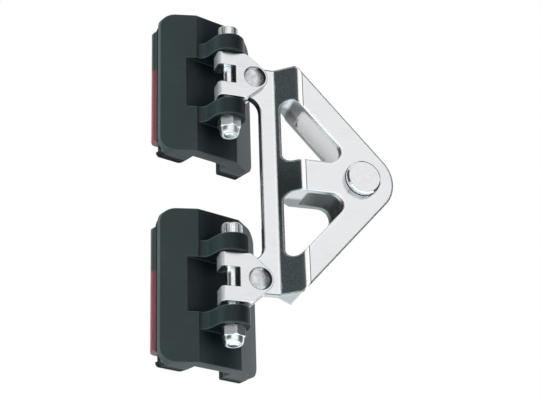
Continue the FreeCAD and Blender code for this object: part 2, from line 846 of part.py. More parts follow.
def side_strip(name, side):
    body = new_body(name)
    width = strip_end - strip_start
    flat = guide_half_width + strip_shoulder
    radius = (width * width / 4 + strip_bulge * strip_bulge) / (2 * strip_bulge)
    plan = Drawing(body, "Plan", "XY_Plane").loop(handed([
        Corner(guide_half_width, strip_start),
        Corner(flat, strip_start, radius),
        Corner(flat, strip_end),
        Corner(guide_half_width, strip_end),
    ], side))
    pad(body, "Extrusion", plan, 2 * (strip_half_length + strip_drop))
    wide = strip_half_width + cut_margin
    inner = strip_half_width - strip_end_radius
    start = guide_half_width - cut_margin
    ends = Drawing(body, "EndTrim", "XZ_Plane")
    for end in (1, -1):
        top = strip_half_length - strip_drop * end
        outside = strip_half_length + strip_drop + cut_margin
        corner = [
            Corner(start, top),
            Corner(inner, top, -strip_end_radius),
            Corner(strip_half_width, top - strip_end_radius),
            Corner(wide, top - strip_end_radius),
            Corner(wide, outside),
            Corner(start, outside),
        ]
        if end < 0:
            corner = reflected(corner, 1, -1, None)
        ends.loop(handed(corner, side))
    cut_through(body, "RoundEnds", ends)
    return body


def ball_place(distance, run, turn):
    """Place of a ball in the plane of its circuit, at a distance along it from the lower turn."""
    half_turn = math.pi * turn
    for side in (1, -1):
        if distance < 2 * run:
            return Vector(turn * -side, 0, (distance - run) * side)
        distance -= 2 * run
        if distance < half_turn:
            angle = distance / turn
            return Vector(-turn * math.cos(angle), 0, run + turn * math.sin(angle)) * side
        distance -= half_turn
    return Vector(-turn, 0, -run)


def ball_group(name, side):
    """The loose balls of one circuit, evenly spaced, as one group of separate balls."""
    run = circuit_half_straight.value
    turn = circuit_radius.value
    whole = 4 * run + 2 * math.pi * turn
    count = int(whole / (ball_diameter.value + ball_spacing.value))
    balls = []
    for index in range(count):
        ball = document.addObject("Part::Sphere", f"{name}_ball{index}")
        ball.setExpression("Radius", (ball_diameter / 2).formula)
        place = ball_place(whole * index / count, run, turn)
        ball.Placement.Base = place + Vector(circuit_centre.value * side, split_reach.value, 0)
        balls.append(ball)
    group = document.addObject("Part::Compound", name)
    group.Label = name
    group.Links = balls
    return group


def pivot_screw(name):
    body = new_body(name)
    shank = screw_diameter / 2
    head = screw_head_diameter / 2
    top = ear_end + screw_head_height
    tip = nut_end - screw_tip
    turned(body, "Screw", Drawing(body, "HalfSection", "XZ_Plane").loop([
        Corner(0, tip),
        Corner(shank - screw_tip_bevel, tip),
        Corner(shank, tip + screw_tip_bevel),
        Corner(shank, ear_end),
        Corner(head, ear_end),
        Corner(head, top - screw_head_bevel),
        Corner(head - screw_head_bevel, top),
        Corner(0, top),
    ]))
    socket = Drawing(body, "SocketOutline", "XY_Plane", top).loop(hexagon(socket_width))
    cut_into(body, "Socket", socket, socket_depth)
    return body


def lock_nut(name):
    body = new_body(name)
    hexagonal = Drawing(body, "Hexagon", "XY_Plane", -ear_end).loop(hexagon(nut_width, 10))
    pad_one_side(body, "Hex", hexagonal, nut_hex_height, reverse=True)
    corner = nut_width / (2 * cosine(30))
    chamfer_top = nut_width / 2
    drop = (corner + cut_margin - chamfer_top) * tangent(nut_corner_angle)
    hex_end = -ear_end - nut_hex_height
    bevels = Drawing(body, "CornerBevels", "XZ_Plane")
    for face, way in ((-ear_end, -1), (hex_end, 1)):
        bevel = [
            Corner(chamfer_top, face),
            Corner(corner + cut_margin, face),
            Corner(corner + cut_margin, face + drop * way),
        ]
        bevels.loop(bevel)
    turned(body, "CornerTurning", bevels, "PartDesign::Groove")
    turned(body, "Collar", Drawing(body, "CollarSection", "XZ_Plane").loop([
        Corner(0, hex_end),
        Corner(0, nut_end),
        Corner(nut_collar_end / 2, nut_end, nut_collar_bulge),
        Corner(nut_collar_diameter / 2, hex_end),
    ]))
    bore = Drawing(body, "Bore", "XY_Plane").circle(0, 0, bore_radius)
    cut_through(body, "ThreadBore", bore)
    recess = Drawing(body, "RingRecess", "XY_Plane", nut_end).circle(0, 0, nut_ring_diameter / 2 + pin_clearance)
    cut_into(body, "RingSeat", recess, nut_ring_depth, reverse=True)
    return body


def nut_insert(name):
    body = new_body(name)
    ring = Drawing(body, "Ring", "XY_Plane", nut_end + nut_ring_depth)
    ring.circle(0, 0, nut_ring_diameter / 2)
    ring.circle(0, 0, bore_radius)
    pad_one_side(body, "LockingRing", ring, nut_ring_depth, reverse=True)
    return body


def guide_screw(name, side, end):
    """One countersunk screw, standing at its hole."""
    body = new_body(name)
    shank = guide_screw_diameter / 2
    head = guide_screw_head / 2
    head_height = head - shank
    turned(body, "Screw", Drawing(body, "HalfSection", "XY_Plane").loop([
        Corner(0, -guide_screw_length),
        Corner(shank, -guide_screw_length),
        Corner(shank, -head_height),
        Corner(head, 0),
        Corner(0, 0),
    ]))
    slot = Drawing(body, "SlotOutline", "XZ_Plane").loop(both_sides([
        Corner(head, guide_screw_slot / 2),
        Corner(-head, guide_screw_slot / 2),
    ]))
    cut_into(body, "Slot", slot, guide_screw_slot_depth, reverse=True)
    body.Placement = FreeCAD.Placement(Vector(0, 0, 0), FreeCAD.Rotation())
    body.setExpression(".Placement.Base.x", (circuit_centre * side).formula)
    body.setExpression(".Placement.Base.y", (guide_face - screw_clearance).formula)
    body.setExpression(".Placement.Base.z", (screw_spread * end).formula)
    return body


def guide_screws(name):
    screws = []
    for side in (1, -1):
        for end in (1, -1):
            screws.append(guide_screw(f"{name}_{len(screws)}", side, end))
    group = document.addObject("Part::Compound", name)
    group.Label = name
    group.Links = screws
    return group


# Placing

def stand(piece, across, up, turn=None):
    """Give a piece its place and its turn about the upright axis."""
    swing = FreeCAD.Rotation(Vector(0, 0, 1), turn.value if turn else 0)
    piece.Placement = FreeCAD.Placement(Vector(across.value, 0, up.value), swing)
    piece.setExpression(".Placement.Base.x", across.formula)
    piece.setExpression(".Placement.Base.z", up.formula)
    return piece


def build():
    """Build every piece at rest and return them."""
    pieces = [link(), headboard_pin(), retaining_ring()]
    for word, end in (("upper", 1), ("lower", -1)):
        up = toggle_rise * end
        for make, label in ((toggle, "toggle"), (toggle_pin, "toggle_pin")):
            pieces.append(stand(make(f"{word}_{label}"), -pin_reach, up))
        pivot = -pin_reach - pivot_reach
        hung = up - car_drop
        singles = ((car_body, "car_body"), (pivot_screw, "pivot_screw"), (lock_nut, "lock_nut"),
                   (nut_insert, "nut_insert"), (guide_screws, "guide_screws"))
        for make, label in singles:
            pieces.append(stand(make(f"{word}_{label}"), pivot, hung, car_turn))
        for hand, side in (("right", 1), ("left", -1)):
            for make, label in ((ball_guide, "ball_guide"), (side_strip, "side_strip"), (ball_group, "balls")):
                pieces.append(stand(make(f"{word}_{hand}_{label}", side), pivot, hung, car_turn))
    return pieces


def export(pieces):
    """Check every object and write each piece to its own file."""
    document.recompute()
    for item in document.Objects:
        if "Invalid" in item.State or "Error" in item.State:
            raise RuntimeError(f"{item.Label}: {item.State}")
    for piece in pieces:
        if piece.Shape.isNull() or not piece.Shape.isValid() or not piece.Shape.Solids:
            raise RuntimeError(f"{piece.Label}: no valid solid")
    os.makedirs("parts", exist_ok=True)
    for piece in pieces:
        piece.Shape.exportStep(os.path.join("parts", f"{piece.Label}.step"))
        box = piece.Shape.BoundBox
        print(f"{piece.Label:26s} solids {len(piece.Shape.Solids):3d} volume {piece.Shape.Volume:9.1f}"
              f" x {box.XMin:7.2f} {box.XMax:7.2f} y {box.YMin:7.2f} {box.YMax:7.2f}"
              f" z {box.ZMin:7.2f} {box.ZMax:7.2f}")


export(build())
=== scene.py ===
"""Looks of the headboard car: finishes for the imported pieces, studio and camera."""

import logging
import math
from dataclasses import dataclass, field
from enum import Enum

import bpy
from mathutils import Matrix, Vector


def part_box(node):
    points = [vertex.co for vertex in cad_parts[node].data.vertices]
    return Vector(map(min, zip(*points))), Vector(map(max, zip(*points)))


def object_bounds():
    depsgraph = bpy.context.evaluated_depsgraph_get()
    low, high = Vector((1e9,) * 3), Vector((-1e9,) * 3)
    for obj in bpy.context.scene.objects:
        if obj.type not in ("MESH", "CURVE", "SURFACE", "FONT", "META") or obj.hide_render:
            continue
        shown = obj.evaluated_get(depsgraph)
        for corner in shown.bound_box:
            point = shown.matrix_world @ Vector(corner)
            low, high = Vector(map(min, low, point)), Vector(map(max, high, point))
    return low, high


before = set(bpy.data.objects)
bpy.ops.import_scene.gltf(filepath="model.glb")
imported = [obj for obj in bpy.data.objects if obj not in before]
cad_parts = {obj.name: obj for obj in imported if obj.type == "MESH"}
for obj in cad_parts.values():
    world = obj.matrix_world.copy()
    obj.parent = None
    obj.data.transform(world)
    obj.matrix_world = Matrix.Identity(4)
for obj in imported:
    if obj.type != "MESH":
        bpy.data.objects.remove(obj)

CAD_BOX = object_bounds()
LOG = logging.getLogger("headboard_car")
MM = 0.001

Colour = tuple[float, float, float, float]
Given = bpy.types.NodeSocket | tuple[float, ...] | float
Outputs = bpy.types.bpy_prop_collection


class Level(Enum):
    """The two cars and toggles, named as in the frame."""

    UPPER = "upper"
    LOWER = "lower"


class Hand(Enum):
    """The two sides of a car."""

    RIGHT = "right"
    LEFT = "left"


class Axis(Enum):
    """Directions that turned pieces are made about."""

    ACROSS = (0.0, 1.0, 0.0)
    UPRIGHT = (0.0, 0.0, 1.0)


def middle_of(node: str) -> Vector:
    """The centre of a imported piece's box, in metres."""
    low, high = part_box(node)
    return (low + high) / 2


def toward(azimuth: float, elevation: float) -> Vector:
    """The unit vector to an azimuth, counted from the front, and an elevation, both in degrees."""
    turn, tilt = math.radians(azimuth), math.radians(elevation)
    return Vector((math.sin(turn) * math.cos(tilt), -math.cos(turn) * math.cos(tilt), math.sin(tilt)))


def scaled(colour: Colour, factor: float) -> Colour:
    """A colour made lighter or darker, with its alpha kept."""
    return tuple(part * factor for part in colour[:3]) + (1.0,)


# Shader building


class Nodes:
    """Short ways to fill a node tree."""

    def __init__(self, tree: bpy.types.NodeTree) -> None:
        """Keep the tree that the nodes go into."""
        self.tree = tree

    def add(self, kind: str, inputs: dict | None = None, **settings: object) -> bpy.types.Node:
        """Add a node and set it up.

        Args:
            kind: Blender's name of the node, without its ShaderNode prefix.
            inputs: Values or output sockets, by the name or number of the input.
            settings: Properties of the node.

        Returns:
            The new node.
        """
        prefix = "" if kind.startswith("NodeGroup") else "ShaderNode"
        node = self.tree.nodes.new(prefix + kind)
        for name, value in settings.items():
            setattr(node, name, value)
        for name, value in (inputs or {}).items():
            self.feed(node.inputs[name], value)
        return node

    def feed(self, socket: bpy.types.NodeSocket, value: Given) -> None:
        """Give an input what it works on.

        Args:
            socket: The input.
            value: An output to link it to, or a value to set.
        """
        if isinstance(value, bpy.types.NodeSocket):
            self.tree.links.new(value, socket)
        else:
            socket.default_value = value

    def math(
        self, operation: str, first: Given, second: Given = 0.0, third: Given = 0.0
    ) -> bpy.types.NodeSocket:
        """The output of a Math node."""
        return self.add("Math", {0: first, 1: second, 2: third}, operation=operation).outputs[0]

    def times(self, first: Given, second: Given) -> bpy.types.NodeSocket:
        """The product of two values or masks."""
        return self.math("MULTIPLY", first, second)

    def vector(self, operation: str, first: Given, second: Given = (0.0, 0.0, 0.0)) -> bpy.types.Node:
        """A Vector Math node."""
        return self.add("VectorMath", {0: first, 1: second}, operation=operation)

    def span(
        self, value: Given, low: float, high: float, start: float = 0.0, end: float = 1.0
    ) -> bpy.types.NodeSocket:
        """Map a value smoothly from one range to another, held at its ends.

        Args:
            value: What is mapped.
            low: Where the mapping starts; it may lie above high.
            high: Where the mapping ends.
            start: The result at low.
            end: The result at high.

        Returns:
            The mapped value.
        """
        ends = {"Value": value, "From Min": low, "From Max": high, "To Min": start, "To Max": end}
        return self.add("MapRange", ends, interpolation_type="SMOOTHSTEP").outputs["Result"]

    def blend(self, factor: Given, first: Given, second: Given) -> bpy.types.NodeSocket:
        """A mix of two colours."""
        return self.add("Mix", {0: factor, 6: first, 7: second}, data_type="RGBA").outputs[2]

    def mix(self, factor: Given, first: Given, second: Given) -> bpy.types.NodeSocket:
        """A mix of two values."""
        return self.add("Mix", {0: factor, 2: first, 3: second}).outputs[0]

    def place(self) -> bpy.types.NodeSocket:
        """The point on the piece, in the shared frame."""
        return self.add("TexCoord").outputs["Object"]

    def normal(self) -> bpy.types.NodeSocket:
        """The true normal of the piece's face."""
        return self.add("NewGeometry").outputs["Normal"]

    def parts(self, vector: Given) -> Outputs:
        """The three parts of a vector."""
        return self.add("SeparateXYZ", {0: vector}).outputs

    def arm(self, centre: Given) -> bpy.types.NodeSocket:
        """The vector from a centre to the point on the piece."""
        return self.vector("SUBTRACT", self.place(), centre).outputs[0]

    def noise(self, scale: Given, detail: float = 3.0, vector: Given | None = None) -> bpy.types.NodeSocket:
        """Noise over the piece, from 0 to 1."""
        place = vector if vector is not None else self.place()
        return self.add("TexNoise", {"Vector": place, "Scale": scale, "Detail": detail}).outputs["Fac"]


@dataclass(frozen=True)
class Group:
    """A shader node group being made: its tree, a helper that fills it, and its two end nodes."""

    tree: bpy.types.NodeTree
    nodes: Nodes
    given: Outputs
    made: bpy.types.Node

    @classmethod
    def start(cls, name: str, inputs: dict[str, tuple[str, object]], outputs: tuple[str, ...]) -> "Group":
        """Start a group whose outputs are plain values.

        Args:
            name: The group's name.
            inputs: Kind and starting value of each input, by name.
            outputs: The names of the outputs.

        Returns:
            The open group.
        """
        tree = bpy.data.node_groups.new(name, "ShaderNodeTree")
        for label, (kind, value) in inputs.items():
            socket = tree.interface.new_socket(label, in_out="INPUT", socket_type=f"NodeSocket{kind}")
            socket.default_value = value
        for label in outputs:
            tree.interface.new_socket(label, in_out="OUTPUT", socket_type="NodeSocketFloat")
        nodes = Nodes(tree)
        return cls(tree, nodes, nodes.add("NodeGroupInput").outputs, nodes.add("NodeGroupOutput"))

    def close(self, **values: Given) -> bpy.types.NodeTree:
        """Feed the outputs.

        Args:
            values: What each output gives, by name.

        Returns:
            The finished tree.
        """
        for label, value in values.items():
            self.nodes.feed(self.made.inputs[label], value)
        return self.tree


class Effects:
    """Surface effects that several finishes share, each one shader node group."""

    BROAD_GRAIN = 0.02
    RING_NOISE = 900.0
    RING_WANDER = 1.6
    RING_MARKS = 300.0
    UPRIGHT_LIMIT = 0.4
    STREAK_STRETCH = (0.15, 1.0, 1.0)
    STREAK_SCALE = 9.0
    PATCH_SPAN = (0.35, 0.75)
    STREAK_SPAN = (0.3, 0.8)
    RIM_SPAN = (0.003, 0.015)
    LINE_SPAN = (0.05, 0.10)

    def __init__(self) -> None:
        """Build every group once."""
        self.grain = self.make_grain()
        self.lathe = self.make_lathe()
        self.flutes = self.make_flutes()
        self.smudge = self.make_smudge()
        self.rims = self.make_rims()

    def make_grain(self) -> bpy.types.NodeTree:
        """Fine even grain, as blasting or a mould leaves it.

        Returns:
            A group with the grain's height and a mask of broad, faint patches.
        """
        inputs = {"Size": ("Float", 0.4 * MM), "Stretch": ("Vector", (1.0, 1.0, 1.0))}
        group = Group.start("fine_grain", inputs, ("Height", "Mask"))
        nodes = group.nodes
        stretched = nodes.vector("MULTIPLY", nodes.place(), group.given["Stretch"]).outputs[0]
        scale = nodes.math("DIVIDE", 1.0, group.given["Size"])
        fine = nodes.noise(scale, detail=2.0, vector=stretched)
        broad = nodes.noise(nodes.times(scale, self.BROAD_GRAIN), detail=3.0, vector=stretched)
        return group.close(Height=fine, Mask=broad)

    def make_lathe(self) -> bpy.types.NodeTree:
        """Rings that a turning tool leaves about an axis.

        Returns:
            A group with the rings' height and a mask of uneven brightness.
        """
        inputs = {
            "Centre": ("Vector", (0.0, 0.0, 0.0)),
            "Axis": ("Vector", Axis.ACROSS.value),
            "Pitch": ("Float", 0.3 * MM),
        }
        group = Group.start("lathe_rings", inputs, ("Height", "Mask"))
        nodes = group.nodes
        arm = nodes.arm(group.given["Centre"])
        crossed = nodes.vector("CROSS_PRODUCT", arm, group.given["Axis"]).outputs[0]
        out = nodes.vector("LENGTH", crossed).outputs[1]
        along = nodes.vector("DOT_PRODUCT", arm, group.given["Axis"]).outputs[1]
        travel = nodes.math("DIVIDE", nodes.math("ADD", out, along), group.given["Pitch"])
        wander = nodes.times(nodes.noise(self.RING_NOISE, detail=2.0), self.RING_WANDER)
        turns = nodes.times(nodes.math("ADD", travel, wander), math.tau)
        rings = nodes.math("MULTIPLY_ADD", nodes.math("SINE", turns), 0.5, 0.5)
        return group.close(Height=rings, Mask=nodes.noise(self.RING_MARKS, detail=4.0))

    def make_flutes(self) -> bpy.types.NodeTree:
        """Straight grooves all round the side of an upright head.

        Returns:
            A group with the grooves' height, between the heights Foot and Crown.
        """
        inputs = {
            "Centre": ("Vector", (0.0, 0.0, 0.0)),
            "Count": ("Float", 40.0),
            "Foot": ("Float", 0.0),
            "Crown": ("Float", 1.0),
        }
        group = Group.start("head_flutes", inputs, ("Height",))
        nodes = group.nodes
        arm = nodes.parts(nodes.arm(group.given["Centre"]))
        angle = nodes.math("ARCTAN2", arm[1], arm[0])
        wave = nodes.math("SINE", nodes.times(angle, group.given["Count"]))
        height = nodes.parts(nodes.place())[2]
        above = nodes.math("GREATER_THAN", height, group.given["Foot"])
        below = nodes.math("LESS_THAN", height, group.given["Crown"])
        tilt = nodes.math("ABSOLUTE", nodes.parts(nodes.normal())[2])
        steep = nodes.math("LESS_THAN", tilt, self.UPRIGHT_LIMIT)
        return group.close(Height=nodes.times(wave, nodes.times(nodes.times(above, below), steep)))

    def make_smudge(self) -> bpy.types.NodeTree:
        """Broad uneven polish and faint handling marks.

        Returns:
            A group with a mask of streaky patches and a height.
        """
        group = Group.start("handling_marks", {"Size": ("Float", 10 * MM)}, ("Mask", "Height"))
        nodes = group.nodes
        scale = nodes.math("DIVIDE", 1.0, group.given["Size"])
        broad = nodes.noise(scale, detail=4.0)
        stretched = nodes.vector("MULTIPLY", nodes.place(), self.STREAK_STRETCH).outputs[0]
        streaks = nodes.noise(nodes.times(scale, self.STREAK_SCALE), detail=5.0, vector=stretched)
        both = nodes.times(nodes.span(broad, *self.PATCH_SPAN), nodes.span(streaks, *self.STREAK_SPAN))
        return group.close(Mask=both, Height=broad)

    def make_rims(self) -> bpy.types.NodeTree:
        """Where painted edge highlights lie along an edge, and the fine corner line where painted dark lines
        go.

        Returns:
            A group with a rim mask and a line mask.
        """
        group = Group.start("painted_edge_light_masks", {"Radius": ("Float", 1 * MM)}, ("Rim", "Line"))
        nodes = group.nodes
        rounded = nodes.add("Bevel", {"Radius": group.given["Radius"]}, samples=8).outputs["Normal"]
        level = nodes.vector("DOT_PRODUCT", rounded, nodes.normal()).outputs[1]
        turned = nodes.math("SUBTRACT", 1.0, level)
        return group.close(Rim=nodes.span(turned, *self.RIM_SPAN), Line=nodes.span(turned, *self.LINE_SPAN))


@dataclass(frozen=True)
class Relief:
    """How deep a bump is, in metres, and how strongly it shows."""

    depth: float
    strength: float = 1.0


@dataclass(frozen=True)
class Wear:
    """How a roughness follows a mask: the mask's range, and the shares of the roughness at its ends."""

    low: float
    high: float
    least: float
    most: float


class Surface:
    """A material being made: its nodes, its Principled BSDF and its bumps."""

    def __init__(self, name: str, plain: dict[str, object]) -> None:
        """Start a material.

        Args:
            name: The material's name.
            plain: Values of the Principled BSDF that are the same all over.
        """
        self.material = bpy.data.materials.new(name)
        self.material.use_nodes = True
        self.nodes = Nodes(self.material.node_tree)
        self.shader = self.material.node_tree.nodes["Principled BSDF"]
        for label, value in plain.items():
            self.shader.inputs[label].default_value = value

    def effect(self, group: bpy.types.NodeTree, **values: Given) -> Outputs:
        """Place a shared effect.

        Args:
            group: The effect's node group.
            values: Its inputs, by name.

        Returns:
            The effect's outputs.
        """
        node = self.nodes.add("Group", node_tree=group)
        for label, value in values.items():
            self.nodes.feed(node.inputs[label], value)
        return node.outputs

    def fed(self, label: str) -> bpy.types.NodeSocket:
        """The output that feeds one of the shader's inputs."""
        return self.shader.inputs[label].links[0].from_socket

    def colour(self, value: Given) -> None:
        """Feed the base colour."""
        self.nodes.feed(self.shader.inputs["Base Color"], value)

    def roughness(self, value: Given) -> None:
        """Feed the roughness."""
        self.nodes.feed(self.shader.inputs["Roughness"], value)

    def worn(self, mask: Given, rough: float, wear: Wear) -> None:
        """Feed a roughness that follows a mask.

        Args:
            mask: The mask, from 0 to 1.
            rough: The middle roughness.
            wear: How it varies.
        """
        ends = rough * wear.least, rough * wear.most
        self.roughness(self.nodes.span(mask, wear.low, wear.high, *ends))

    def relief(self, height: Given, relief: Relief) -> None:
        """Add a bump on top of those so far.

        Args:
            height: The bump's height, from 0 to 1.
            relief: How deep and strong it is.
        """
        shape = {"Height": height, "Distance": relief.depth, "Strength": relief.strength}
        bump = self.nodes.add("Bump", shape)
        if self.shader.inputs["Normal"].links:
            self.nodes.feed(bump.inputs["Normal"], self.fed("Normal"))
        self.nodes.feed(self.shader.inputs["Normal"], bump.outputs["Normal"])

    def rounded_edges(self, radius: float) -> None:
        """Let sharp edges catch the light as slightly broken ones do."""
        bevel = self.nodes.add("Bevel", {"Radius": radius}, samples=6)
        self.nodes.feed(self.shader.inputs["Normal"], bevel.outputs["Normal"])


# Finishes


class Finish:
    """A surface finish. Each kind starts its own surface."""

    def start(self, effects: Effects, name: str) -> Surface:
        """Build the surface and keep it open for more.

        Args:
            effects: The shared effects.
            name: The material's name.

        Returns:
            The surface, with its colour, roughness and bumps fed.
        """
        raise NotImplementedError

    def make(self, effects: Effects, name: str) -> bpy.types.Material:
        """The finished material."""
        return self.start(effects, name).material


@dataclass(frozen=True)
class PolishedSteel(Finish):
    """Mirror polished stainless steel with a little unevenness, a painted highlight along its rims and a
    painted dark reflection line at its corners.
    """

    tone: Colour = (0.80, 0.81, 0.83, 1.0)
    dull_tone: Colour = (0.70, 0.71, 0.74, 1.0)
    dull_share: float = 0.5
    marks: float = 14 * MM
    smooth: float = 0.035
    hazy: float = 0.13
    waves: Relief = Relief(0.10 * MM, 0.35)
    edge: float = 0.25 * MM
    rim: float = 1.0 * MM
    # highlight_tone colours the painted rim highlight; painted_line_tone colours the painted dark reflection
    # line at corners.
    highlight_tone: Colour = (0.98, 0.98, 0.98, 1.0)
    painted_line_tone: Colour = (0.10, 0.11, 0.12, 1.0)

    def start(self, effects: Effects, name: str) -> Surface:
        """Build the surface and keep it open for more.

        Args:
            effects: The shared effects.
            name: The material's name.

        Returns:
            The polished surface.
        """
        surface = Surface(name, {"Metallic": 1.0})
        nodes = surface.nodes
        surface.rounded_edges(self.edge)
        marks = surface.effect(effects.smudge, Size=self.marks)
        face = nodes.blend(nodes.times(marks["Mask"], self.dull_share), self.tone, self.dull_tone)
        rims = surface.effect(effects.rims, Radius=self.rim)
        # Painted highlight: the rims are lightened toward white.
        highlighted = nodes.blend(rims["Rim"], face, self.highlight_tone)
        # Painted reflection: a fine dark line at each corner.
        surface.colour(nodes.blend(rims["Line"], highlighted, self.painted_line_tone))
        surface.roughness(nodes.span(marks["Mask"], 0.0, 1.0, self.smooth, self.hazy))
        surface.relief(marks["Height"], self.waves)
        return surface


@dataclass(frozen=True)
class LinkPlaces:
    """What the masks of the link share: its nodes, where a point lies and which way its face looks."""

    nodes: Nodes
    place: Outputs
    normal: Outputs
    flat: bpy.types.NodeSocket
    before: bpy.types.NodeSocket


@dataclass(frozen=True)
class LinkSteel(Finish):
    """The link's polish, with a painted highlight along the crown of its shoulder, painted reflection on its
    slope and painted shade on its milled window walls and fork cheeks.
    """

    polish: PolishedSteel
    crown: float
    # crown_width and strip_fade shape the painted highlight strip along the crown.
    crown_width: float = 3.4 * MM
    strip_fade: float = 0.8
    crown_dark_line: float = 0.30 * MM
    crown_dark_line_fade: float = 0.4
    slope_end: float = 14 * MM
    slope_fade_in: float = 1.2
    slope_fade_out: float = 0.9
    speckle: float = 0.7 * MM
    speckle_span: tuple[float, float] = (0.35, 0.70)
    slope_reflection_tone: Colour = (0.50, 0.52, 0.52, 1.0)
    flat_span: tuple[float, float] = (0.35, 0.55)
    wall_shade_tone: Colour = (0.74, 0.75, 0.76, 1.0)
    rear_shade_tone: Colour = (0.30, 0.31, 0.32, 1.0)
    rear_span: tuple[float, float] = (-1 * MM, 3 * MM)
    end_shade_tone: Colour = (0.13, 0.14, 0.14, 1.0)
    end_span: tuple[float, float] = (0.75, 0.95)
    cheek_shade_tone: Colour = (0.55, 0.57, 0.57, 1.0)
    deep_cheek_shade_tone: Colour = (0.28, 0.30, 0.30, 1.0)
    wall_rough: float = 0.28
    fork_depth: float = 16 * MM
    window_reach: float = 10 * MM
    window_level: float = 33 * MM

    def start(self, effects: Effects, name: str) -> Surface:
        """Build the surface and keep it open for more.

        Args:
            effects: The shared effects.
            name: The material's name.

        Returns:
            The polished surface with its crown, window walls and fork cheeks.
        """
        surface = self.polish.start(effects, name)
        nodes = surface.nodes
        place, normal = nodes.parts(nodes.place()), nodes.parts(nodes.normal())
        flat = nodes.span(nodes.math("ABSOLUTE", normal[1]), *self.flat_span)
        before = nodes.math("SUBTRACT", self.crown, place[0])
        at = LinkPlaces(nodes, place, normal, flat, before)
        smooth = surface.fed("Roughness")
        wall, cheek = self.window_walls(at), self.fork_cheeks(at)
        # Painted shade on the window walls and fork cheeks over the polished colour; the walls' higher
        # roughness is their real milled finish.
        dressed = nodes.blend(wall, self.crowned(at, surface.fed("Base Color")), self.wall_colour(at))
        surface.colour(nodes.blend(cheek, dressed, self.cheek_colour(at)))
        surface.roughness(nodes.mix(nodes.math("MAXIMUM", wall, cheek), smooth, self.wall_rough))
        return surface

    def crowned(self, at: LinkPlaces, polished: Given) -> bpy.types.NodeSocket:
        """Paint the shoulder's light: darker speckles of reflection on its slope, a highlight along its crown
        and a dark reflection line where the crown ends.

        Args:
            at: Where a point of the link lies.
            polished: The polished colour.

        Returns:
            The colour of the link's outside.
        """
        nodes, width = at.nodes, self.crown_width
        ahead = nodes.math("GREATER_THAN", at.before, 0.0)
        strip = nodes.times(nodes.span(at.before, width, width * self.strip_fade), ahead)
        start = nodes.span(at.before, width, width * self.slope_fade_in)
        end = nodes.span(at.before, self.slope_end, self.slope_end * self.slope_fade_out)
        slope = nodes.times(start, end)
        # Painted reflection: darker speckles that mottle the dark band on the slope.
        speckle = nodes.span(nodes.noise(1 / self.speckle, detail=2.0), *self.speckle_span)
        sloped = nodes.blend(nodes.times(slope, speckle), polished, self.slope_reflection_tone)
        # Painted highlight: a bright strip along the crown, on faces that look front or back.
        crowned = nodes.blend(nodes.times(strip, at.flat), sloped, self.polish.highlight_tone)
        # Painted reflection: a fine dark line where the crown ends, standing for a crease's dark reflection.
        crown_dark_line = nodes.span(nodes.math("ABSOLUTE", at.before), self.crown_dark_line, self.crown_dark_line * self.crown_dark_line_fade)
        return nodes.blend(nodes.times(crown_dark_line, at.flat), crowned, self.polish.painted_line_tone)

    def window_walls(self, at: LinkPlaces) -> bpy.types.NodeSocket:
        """Find the faces that look toward the middle of their window.

        Args:
            at: Where a point of the link lies.

        Returns:
            The walls' mask.
        """
        nodes = at.nodes
        out_x = nodes.times(at.normal[0], nodes.math("SUBTRACT", at.place[0], self.crown))
        level = nodes.times(nodes.math("SIGN", at.place[2]), self.window_level)
        out_z = nodes.times(at.normal[2], nodes.math("SUBTRACT", at.place[2], level))
        inward = nodes.math("LESS_THAN", nodes.math("ADD", out_x, out_z), 0.0)
        beyond = nodes.math("GREATER_THAN", at.place[0], self.crown - self.window_reach)
        return nodes.times(nodes.math("SUBTRACT", 1.0, at.flat), nodes.times(inward, beyond))

    def wall_colour(self, at: LinkPlaces) -> bpy.types.NodeSocket:
        """Paint shade on the milled walls: darker in the rear plate and darkest where they look back at the
        tongue.

        Args:
            at: Where a point of the link lies.

        Returns:
            The walls' colour.
        """
        nodes = at.nodes
        # Painted shade: walls darker, much darker in the rear plate and darkest facing back.
        milled = nodes.blend(nodes.span(at.place[1], *self.rear_span), self.wall_shade_tone, self.rear_shade_tone)
        backward = nodes.span(nodes.times(at.normal[0], -1.0), *self.end_span)
        return nodes.blend(backward, milled, self.end_shade_tone)

    def fork_cheeks(self, at: LinkPlaces) -> bpy.types.NodeSocket:
        """The mask of the flat faces inside the fork."""
        facing = at.nodes.math("LESS_THAN", at.nodes.times(at.place[1], at.normal[1]), 0.0)
        return at.nodes.times(facing, at.flat)

    def cheek_colour(self, at: LinkPlaces) -> bpy.types.NodeSocket:
        """Paint shade on the cheeks, darker toward the apex in the lower half.

        Args:
            at: Where a point of the link lies.

        Returns:
            The cheeks' colour.
        """
        nodes = at.nodes
        # Painted shade inside the fork, deeper toward the apex.
        deep = nodes.span(nodes.math("SUBTRACT", at.place[0], self.crown), 0.0, self.fork_depth)
        lower = nodes.blend(deep, self.cheek_shade_tone, self.deep_cheek_shade_tone)
        return nodes.blend(nodes.math("GREATER_THAN", at.place[2], 0.0), lower, self.wall_shade_tone)


@dataclass(frozen=True)
class ToggleSteel(Finish):
    """The toggle's duller polish, with a brushed end and painted shade on the wall in its slot."""

    polish: PolishedSteel
    screw: float
    end_span: tuple[float, float] = (-0.15, -0.45)
    end_rough: float = 0.62
    slot_shade_tone: Colour = (0.07, 0.08, 0.08, 1.0)

    def start(self, effects: Effects, name: str) -> Surface:
        """Build the surface and keep it open for more.

        Args:
            effects: The shared effects.
            name: The material's name.

        Returns:
            The polished surface with its end and slot.
        """
        surface = self.polish.start(effects, name)
        nodes = surface.nodes
        polished, smooth = surface.fed("Base Color"), surface.fed("Roughness")
        end = nodes.span(nodes.parts(nodes.normal())[0], *self.end_span)
        inner = nodes.math("GREATER_THAN", nodes.parts(nodes.place())[0], self.screw)
        # Painted shade on the slot's wall beyond the pivot screw.
        surface.colour(nodes.blend(nodes.times(end, inner), polished, self.slot_shade_tone))
        surface.roughness(nodes.mix(end, smooth, self.end_rough))
        return surface


